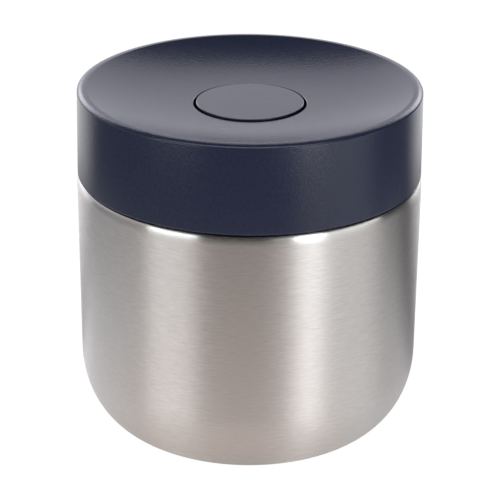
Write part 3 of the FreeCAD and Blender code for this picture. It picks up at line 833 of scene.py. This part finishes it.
def brushed_steel(name):
    """Steel brushed round the axis up to the shoulder, and polished above it."""
    finishes = bpy.context.scene.jar_finishes
    made, tree, shader, place = new_finish(name)
    lines = effect(tree, "Brush lines", {"Vector": place, "Spacing": 0.18 * MM, "Stroke": 2.8 * MM})["Height"]
    height = add_node(tree, "ShaderNodeSeparateXYZ", {0: place}).outputs["Z"]
    edge = bpy.context.scene.jar_sizes.body_height
    polished = ramp(tree, height, edge - 3.4 * MM, edge - 0.2 * MM, 0.0, 1.0, "LINEAR")
    tone = blended(tree, lines, darker(finishes.steel, 0.86), darker(finishes.steel, 1.14))
    tone = blended(tree, polished, tone, finishes.bright_steel)
    base = finishes.steel_roughness
    rough = patchy(tree, place, 0.05, 0.02, between(tree, lines, base - 0.06, base + 0.06))
    turned_metal(tree, shader, tone, mix(tree, polished, rough, 0.24), finishes.steel_stretch)
    relief = times(tree, lines, between(tree, polished, 1.0, 0.15))
    bump(tree, shader, relief, strength=0.9, distance=0.02 * MM)
    return made


def bright_steel(name):
    """Bright steel with the faint turning lines of a drawn and polished vessel."""
    steel = bpy.context.scene.jar_finishes.bright_steel
    made, tree, shader, place = new_finish(name)
    lines = effect(tree, "Brush lines", {"Vector": place, "Spacing": 0.4 * MM, "Stroke": 30 * MM})
    tone = blended(tree, lines["Streak"], darker(steel, 0.93), darker(steel, 1.05))
    rough = patchy(tree, place, 0.03, 0.05, between(tree, lines["Streak"], 0.15, 0.22))
    turned_metal(tree, shader, tone, rough, stretch=0.5)
    bump(tree, shader, lines["Height"], strength=0.2, distance=0.008 * MM)
    return made


def moulded(name, tone, roughness, grain_size, relief, contrast=0.06, specular=0.5):
    """Moulded plastic or silicone with a grain, slight tone and patches of handling."""
    made, tree, shader, place = new_finish(name)
    grain = effect(tree, "Moulded grain", {"Vector": place, "Size": grain_size})["Grain"]
    speck = blended(tree, grain, darker(tone, 1 - contrast), darker(tone, 1 + contrast))
    rough = patchy(tree, place, 0.035, 0.03, between(tree, grain, roughness - 0.02, roughness + 0.02))
    fill(tree, shader, {"Base Color": speck, "Roughness": rough, "Specular IOR Level": specular})
    bump(tree, shader, grain, strength=0.5, distance=relief)
    return made


def lid_plastic(name):
    """The lid's fine-grained navy plastic."""
    finishes = bpy.context.scene.jar_finishes
    return moulded(name, finishes.lid, finishes.lid_roughness, 0.7 * MM, 0.035 * MM, contrast=0.12)


def liner_plastic(name):
    """The smoother grey plastic under the lid."""
    return moulded(name, bpy.context.scene.jar_finishes.liner, 0.36, 0.9 * MM, 0.02 * MM)


def guide_plastic(name):
    """The slippery white plastic of the stem and its guide."""
    return moulded(name, bpy.context.scene.jar_finishes.guide, 0.3, 0.7 * MM, 0.01 * MM, contrast=0.03)


def silicone(name):
    """Translucent grey silicone with a dusty skin."""
    tone = bpy.context.scene.jar_finishes.silicone
    made = moulded(name, tone, 0.52, 0.6 * MM, 0.02 * MM, contrast=0.04, specular=0.4)
    tree = made.node_tree
    fill(tree, tree.nodes["Principled BSDF"], {"Subsurface Weight": 0.25, "Subsurface Scale": 2 * MM})
    return made


def adhesive(name):
    """A ring of cream adhesive with a wavy skin."""
    return moulded(name, bpy.context.scene.jar_finishes.adhesive, 0.6, 3 * MM, 0.1 * MM, contrast=0.08)


def foam(name):
    """Rigid white foam with open cells."""
    made, tree, shader, place = new_finish(name)
    cells = result(tree, "ShaderNodeTexVoronoi", {"Vector": place, "Scale": 900.0})
    tone = bpy.context.scene.jar_finishes.foam
    fill(tree, shader, {"Base Color": blended(tree, cells, darker(tone, 0.8), tone), "Roughness": 0.9})
    bump(tree, shader, cells, strength=0.6, distance=0.3 * MM)
    return made


def spring_steel(name):
    """Drawn wire with a bright, slightly oily skin."""
    made, tree, shader, place = new_finish(name)
    grain = effect(tree, "Moulded grain", {"Vector": place, "Size": 0.3 * MM})["Grain"]
    two_tone(tree, shader, grain, [(0.45, 0.45, 0.46), (0.62, 0.62, 0.63)], (0.18, 0.32), metallic=1.0)
    return made


def foil(name):
    """Thin bright foil with soft crinkles."""
    made, tree, shader, place = new_finish(name)
    folds = result(tree, "ShaderNodeTexVoronoi", {"Vector": place, "Scale": 120.0})
    two_tone(tree, shader, folds, [(0.72, 0.71, 0.69), (0.84, 0.83, 0.81)], (0.12, 0.3), metallic=1.0)
    bump(tree, shader, folds, strength=0.5, distance=0.4 * MM)
    return made


def getter_metal(name):
    """A dark pressed metal pill."""
    made, tree, shader, place = new_finish(name)
    grain = effect(tree, "Moulded grain", {"Vector": place, "Size": 0.2 * MM})["Grain"]
    two_tone(tree, shader, grain, [(0.2, 0.19, 0.18), (0.36, 0.35, 0.34)], (0.55, 0.75), metallic=0.8)
    bump(tree, shader, grain, strength=0.5, distance=0.08 * MM)
    return made


def solder_glass(name):
    """A dark fused glass bead."""
    made, tree, shader, place = new_finish(name)
    marks = effect(tree, "Handling", {"Vector": place, "Size": 2 * MM})["Mask"]
    two_tone(tree, shader, marks, [(0.1, 0.09, 0.08), (0.16, 0.14, 0.13)], (0.15, 0.3))
    return made


FINISHES = {maker.__name__: maker for maker in (
    brushed_steel, bright_steel, solder_glass, adhesive, getter_metal, foil,
    lid_plastic, liner_plastic, foam, silicone, guide_plastic, spring_steel)}


def material(slot):
    """The finish of a material slot, made the first time that it is asked for."""
    name = "jar_" + slot
    return bpy.data.materials.get(name) or FINISHES[slot](name)


# Operators, one for each piece or group of pieces

def thread_top(jar):
    """Height of the middle of a ridge at its upper end, below the lip."""
    lip_room = 1.25 * MM
    return jar.body_height + jar.neck_height - jar.lip_thickness - lip_room - jar.thread_root / 2


class FOODJAR_OT_body(bpy.types.Operator):
    """Build the brushed outer wall with its threaded neck"""

    bl_idname = "foodjar.body"
    bl_label = "Steel body"

    def execute(self, context):
        jar = context.scene.jar_sizes
        turned("steel_body", "outer_shell", shell_outline, "brushed_steel")
        thread_start = 4.0 * MM
        low = context.scene.lid_sizes.bottom + thread_start
        thread("neck_thread", "outer_shell", "bright_steel", jar.neck_radius, 1, low, thread_top(jar) - low)
        return {"FINISHED"}


class FOODJAR_OT_vessel(bpy.types.Operator):
    """Build the bright inner vessel with its lip, and the foil round it"""

    bl_idname = "foodjar.vessel"
    bl_label = "Inner vessel"

    def execute(self, context):
        turned("bright_vessel", "inner_vessel", vessel_outline, "bright_steel", closed=False)
        smooth_copy("crinkled_foil", "radiation_foil", "foil")
        return {"FINISHED"}


class FOODJAR_OT_foot(bpy.types.Operator):
    """Build the plate, disc, plug and getter in the foot"""

    bl_idname = "foodjar.foot"
    bl_label = "Foot pieces"

    def execute(self, context):
        turned("foot_plate", "outer_base", base_outline, "bright_steel")
        turned("foot_disc", "base_cover", cover_outline, "brushed_steel", closed=False)
        smooth_copy("disc_adhesive", "base_adhesive", "adhesive")
        smooth_copy("glass_plug", "vacuum_plug", "solder_glass")
        smooth_copy("getter_holder", "getter_cup", "bright_steel")
        smooth_copy("getter_pill", "getter", "getter_metal")
        return {"FINISHED"}


class FOODJAR_OT_lid(bpy.types.Operator):
    """Build the lid's outer shell with its rim, dish and well"""

    bl_idname = "foodjar.lid"
    bl_label = "Lid shell"

    def execute(self, context):
        turned("dished_lid", "lid_shell", lid_outline, "lid_plastic")
        return {"FINISHED"}


class FOODJAR_OT_liner(bpy.types.Operator):
    """Build the threaded liner, the seal, the foam and the ring round the vent"""

    bl_idname = "foodjar.liner"
    bl_label = "Liner and seal"

    def execute(self, context):
        jar, lid = context.scene.jar_sizes, context.scene.lid_sizes
        turned("threaded_liner", "lid_liner", liner_outline, "liner_plastic")
        bore = lid.radius - lid.side_wall - FIT_GAP - lid.liner_wall
        edge_room, plate_room, run_out = 0.05 * MM, 2 * MM, 1 * MM
        low = lid.bottom + LINER_RECESS + edge_room + jar.thread_root / 2
        rise = thread_top(jar) - low - plate_room - run_out
        thread("liner_thread", "lid_liner", "liner_plastic", bore, -1, low, rise)
        turned("lip_seal", "lid_seal", seal_outline, "silicone")
        smooth_copy("lid_insulation", "lid_foam", "foam")
        smooth_copy("vent_ring", "vent_tube_o_ring", "silicone")
        return {"FINISHED"}


class FOODJAR_OT_button(bpy.types.Operator):
    """Build the vent button, its stem, guide and spring"""

    bl_idname = "foodjar.button"
    bl_label = "Vent button"

    def execute(self, context):
        jar, lid = context.scene.jar_sizes, context.scene.lid_sizes
        turned("press_button", "vent_button", button_outline, "lid_plastic", closed=False,
               segments=SMALL_SEGMENTS * 2)
        smooth_copy("button_stem", "vent_stem", "guide_plastic")
        smooth_copy("slotted_guide", "stem_guide", "guide_plastic")
        low, high = (corner.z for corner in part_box("vent_spring"))
        wire = 0.3 * MM
        values = {"Coil radius": 8.2 * MM, "Wire radius": wire, "Low": low + wire, "Height": high - low - 2 * wire,
                  "Turns": 4.0, "Material": material("spring_steel")}
        spring = stand_for(grow("return_spring", "Coil spring", values), "vent_spring")
        well_floor = stack(jar, lid).well_floor
        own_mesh(spring)
        return {"FINISHED"}


class FOODJAR_OT_valve(bpy.types.Operator):
    """Build the valve disc, its washer and the screw that holds them"""

    bl_idname = "foodjar.valve"
    bl_label = "Vent valve"

    def execute(self, context):
        turned("valve_disc", "vent_valve", valve_outline, "silicone", segments=SMALL_SEGMENTS)
        turned("valve_disc_washer", "valve_washer", washer_outline, "bright_steel", segments=SMALL_SEGMENTS)
        smooth_copy("slotted_screw", "valve_screw", "bright_steel")
        return {"FINISHED"}


# The stage

def softbox(name, azimuth, elevation, distance, width, height, strength, tint=(1, 1, 1)):
    """A soft rectangular lamp that faces the jar, with its strength as the radiance of its face."""
    lamp = bpy.data.lights.new(name, "AREA")
    lamp.shape = "RECTANGLE"
    lamp.size = width
    lamp.size_y = height
    lamp.color = tint
    lamp.energy = strength * math.pi * width * height
    obj = bpy.data.objects.new(name, lamp)
    turn, rise = math.radians(azimuth), math.radians(elevation)
    away = Vector((math.sin(turn) * math.cos(rise), -math.cos(turn) * math.cos(rise), math.sin(rise)))
    obj.location = Vector((0, 0, LAMP_AIM_HEIGHT)) + away * distance
    obj.rotation_euler = away.to_track_quat("Z", "Y").to_euler()
    obj.visible_camera = False
    bpy.context.scene.collection.objects.link(obj)


def facing(tree, aim, azimuth, start, end):
    """From 0 to 1 as a level direction comes from start to end degrees of an azimuth, which is 0 at the front."""
    turn = math.radians(azimuth)
    middle = (math.sin(turn), -math.cos(turn), 0)
    toward = add_node(tree, "ShaderNodeVectorMath", {0: aim, 1: middle}, operation="DOT_PRODUCT").outputs["Value"]
    return ramp(tree, toward, math.cos(math.radians(start)), math.cos(math.radians(end)), 0.0, 1.0)


def studio_world():
    """White for the camera; for all else a white backdrop low behind the jar and a dim room above and before it."""
    world = bpy.data.worlds.new("Studio")
    world.use_nodes = True
    tree = world.node_tree
    tree.nodes.clear()
    way = add_node(tree, "ShaderNodeTexCoord").outputs["Generated"]
    parts = add_node(tree, "ShaderNodeSeparateXYZ", {0: way}).outputs
    rise = parts["Z"]  # The upward part of a direction, from -1 to 1
    flat = result(tree, "ShaderNodeCombineXYZ", {"X": parts["X"], "Y": parts["Y"]})
    aim = result(tree, "ShaderNodeVectorMath", {0: flat}, operation="NORMALIZE")
    backdrop = times(tree, facing(tree, aim, 186, 48, 34), ramp(tree, rise, 0.05, 0.45, 1.02, 1.08))
    flanks = plus(tree, facing(tree, aim, 157, 11, 8), facing(tree, aim, -157, 11, 8))
    strip = times(tree, ramp(tree, rise, 0.40, 0.50, 3.8, 0.0), ramp(tree, rise, 0.20, 0.30, 0.0, 1.0))
    room = plus(tree, times(tree, facing(tree, aim, -112, 70, 35), 0.5), 0.05)
    sides = plus(tree, plus(tree, backdrop, times(tree, flanks, strip)), room)
    level = plus(tree, 0.015, times(tree, ramp(tree, rise, 0.58, 0.61, 1.0, 0.0), sides))
    tint = blended(tree, facing(tree, aim, 0, 120, 60), (0.97, 0.965, 1.06), (1.0, 0.90, 0.85))
    seen = add_node(tree, "ShaderNodeLightPath").outputs["Is Camera Ray"]
    values = {"Color": blended(tree, seen, tint, WHITE), "Strength": mix(tree, seen, level, 1.0)}
    light = result(tree, "ShaderNodeBackground", values)
    add_node(tree, "ShaderNodeOutputWorld", {"Surface": light})
    bpy.context.scene.world = world


def painted_floor_reflection(tree, place, aim):
    """Painted reflection: how bright metal sees the floor before, beyond and under the jar, as painted pools of
    light, and a mask that is 0 under its foot, where painted shade falls.
    """
    out = add_node(tree, "ShaderNodeVectorMath", {0: place}, operation="LENGTH").outputs["Value"]
    # Painted pool of light before the jar, with painted shade close to its foot
    front = times(tree, facing(tree, aim, -10, 135, 105), ramp(tree, out, 0.045, 0.09, 0.65, 1.0))
    before = plus(tree, times(tree, ramp(tree, out, 0.05, 0.30, 1.28, 0.04), front), 0.04)
    # Painted light beyond the jar: dark near it and bright far off
    beyond = ramp(tree, out, 0.15, 0.32, 0.10, 1.5)
    # Painted patch of light on the floor, as if under the right-hand lamp
    patch = times(tree, facing(tree, aim, 54, 34, 8), ramp(tree, out, 0.12, 0.30, 0.0, 0.8))
    painted_reflection_pool = plus(tree, mix(tree, facing(tree, aim, 183, 67, 48), before, beyond), patch)
    # Painted shadow under the foot: there metal sees the floor at half level
    clear_of_painted_foot_shade = ramp(tree, out, 0.036, 0.05, 0.0, 1.0)
    return mix(tree, clear_of_painted_foot_shade, 0.5, painted_reflection_pool), clear_of_painted_foot_shade


def floor_finish(tone):
    """A pale floor that shows the camera a white ground with the jar's soft shadow, shows metal a painted reflection
    with painted shade under the foot, and is clear from below.
    """
    made = bpy.data.materials.new("pale_floor")
    made.use_nodes = True
    tree = made.node_tree
    tree.nodes.clear()
    rays = add_node(tree, "ShaderNodeLightPath").outputs
    seen, glossy = rays["Is Camera Ray"], rays["Is Glossy Ray"]
    mirrored = maths(tree, "MAXIMUM", glossy, rays["Is Transmission Ray"])
    place = add_node(tree, "ShaderNodeTexCoord").outputs["Object"]
    aim = result(tree, "ShaderNodeVectorMath", {0: place}, operation="NORMALIZE")
    fleck = noise(tree, place, 3.0)
    pale = blended(tree, fleck, darker(tone, 0.99), darker(tone, 1.01))
    matt = result(tree, "ShaderNodeBsdfDiffuse", {"Color": pale})
    level, clear_of_painted_foot_shade = painted_floor_reflection(tree, place, aim)
    # The painted reflection is tinted warm before the jar, but not in the painted shade under its foot
    painted_reflection_warmth = times(tree, times(tree, facing(tree, aim, -8, 70, 25), clear_of_painted_foot_shade), glossy)
    # The floor glows for glossy and transmission rays at the painted reflection's level
    strength = plus(tree, times(tree, seen, 1.2), times(tree, mirrored, level))
    values = {"Color": blended(tree, painted_reflection_warmth, WHITE, (1.0, 0.88, 0.82)), "Strength": strength}
    white = result(tree, "ShaderNodeEmission", values)
    lift = times(tree, maths(tree, "MAXIMUM", seen, mirrored), 0.8)
    ground = result(tree, "ShaderNodeMixShader", {0: lift, 1: matt, 2: white})
    under = add_node(tree, "ShaderNodeNewGeometry").outputs["Backfacing"]
    clear = result(tree, "ShaderNodeBsdfTransparent")
    final = result(tree, "ShaderNodeMixShader", {0: under, 1: ground, 2: clear})
    add_node(tree, "ShaderNodeOutputMaterial", {"Surface": final})
    return made


def photo_camera(stage):
    """The camera, which stands before the jar and looks down on it."""
    camera = bpy.data.cameras.new("photo_camera")
    camera.lens = stage.lens
    camera.sensor_width = 36
    camera.clip_start = 0.01
    camera.clip_end = 20
    eye = bpy.data.objects.new("photo_camera", camera)
    eye.location = (0, -stage.camera_distance, stage.camera_height)
    lean = Euler((0, 0, stage.camera_roll)).to_matrix()
    aim = Euler((math.pi / 2 - stage.camera_pitch, 0, stage.camera_yaw)).to_matrix()
    eye.rotation_euler = (aim @ lean).to_euler()
    bpy.context.scene.collection.objects.link(eye)
    return eye


class FOODJAR_OT_stage(bpy.types.Operator):
    """Build the floor, the studio light and the camera"""

    bl_idname = "foodjar.stage"
    bl_label = "Stage"

    def execute(self, context):
        scene = context.scene
        ground = bpy.data.meshes.new("studio_floor")
        corners = [(x * FLOOR_REACH, y * FLOOR_REACH, 0) for x, y in ((-1, -1), (1, -1), (1, 1), (-1, 1))]
        ground.from_pydata(corners, [], [(0, 1, 2, 3)])
        ground.materials.append(floor_finish(scene.jar_stage.floor_colour))
        floor = bpy.data.objects.new("studio_floor", ground)
        scene.collection.objects.link(floor)
        studio_world()
        # Each with its azimuth, elevation, distance, width, height, strength and tint
        softbox("softbox_right", 37.6, 4, 1.0, 0.31, 0.42, 7.0, (0.93, 0.975, 1.0))
        softbox("softbox_right_wide", 68, 4, 1.1, 0.9, 0.46, 1.5)
        softbox("softbox_right_inner", 22, 4, 1.1, 0.3, 0.46, 0.65)
        softbox("softbox_left", -48.5, 4, 1.0, 0.58, 0.42, 3.6, (0.95, 0.99, 1.0))
        softbox("softbox_top", -6, 84, 1.1, 1.3, 0.6, 2.1)
        scene.camera = photo_camera(scene.jar_stage)
        scene.view_settings.view_transform = "Standard"
        return {"FINISHED"}


class FOODJAR_PT_panel(bpy.types.Panel):
    """Buttons for the jar's pieces and the values that they are made from"""

    bl_idname = "FOODJAR_PT_panel"
    bl_label = "Food jar"
    bl_space_type = "VIEW_3D"
    bl_region_type = "UI"
    bl_category = "Food Jar"

    def draw(self, context):
        for step in STEPS:
            self.layout.operator(step.bl_idname)
        for group in ("jar_sizes", "lid_sizes", "jar_finishes", "jar_stage"):
            values = getattr(context.scene, group)
            box = self.layout.box()
            for name in values.__annotations__:
                box.prop(values, name)


STEPS = [FOODJAR_OT_body, FOODJAR_OT_vessel, FOODJAR_OT_foot, FOODJAR_OT_lid, FOODJAR_OT_liner,
         FOODJAR_OT_button, FOODJAR_OT_valve, FOODJAR_OT_stage]
VALUE_GROUPS = {"jar_sizes": JarSizes, "lid_sizes": LidSizes, "jar_finishes": JarFinishes, "jar_stage": StageSettings}


def register():
    """Register the classes and hang their values on the scene."""
    for item in [*VALUE_GROUPS.values(), *STEPS, FOODJAR_PT_panel]:
        bpy.utils.register_class(item)
    for name, group in VALUE_GROUPS.items():
        setattr(bpy.types.Scene, name, bpy.props.PointerProperty(type=group))


def unregister():
    """Take the classes and their values away again."""
    for name in VALUE_GROUPS:
        delattr(bpy.types.Scene, name)
    for item in reversed([*VALUE_GROUPS.values(), *STEPS, FOODJAR_PT_panel]):
        bpy.utils.unregister_class(item)


def main():
    register()
    for step in STEPS:
        family, name = step.bl_idname.split(".")
        getattr(getattr(bpy.ops, family), name)()


if __name__ == "__main__":
    main()
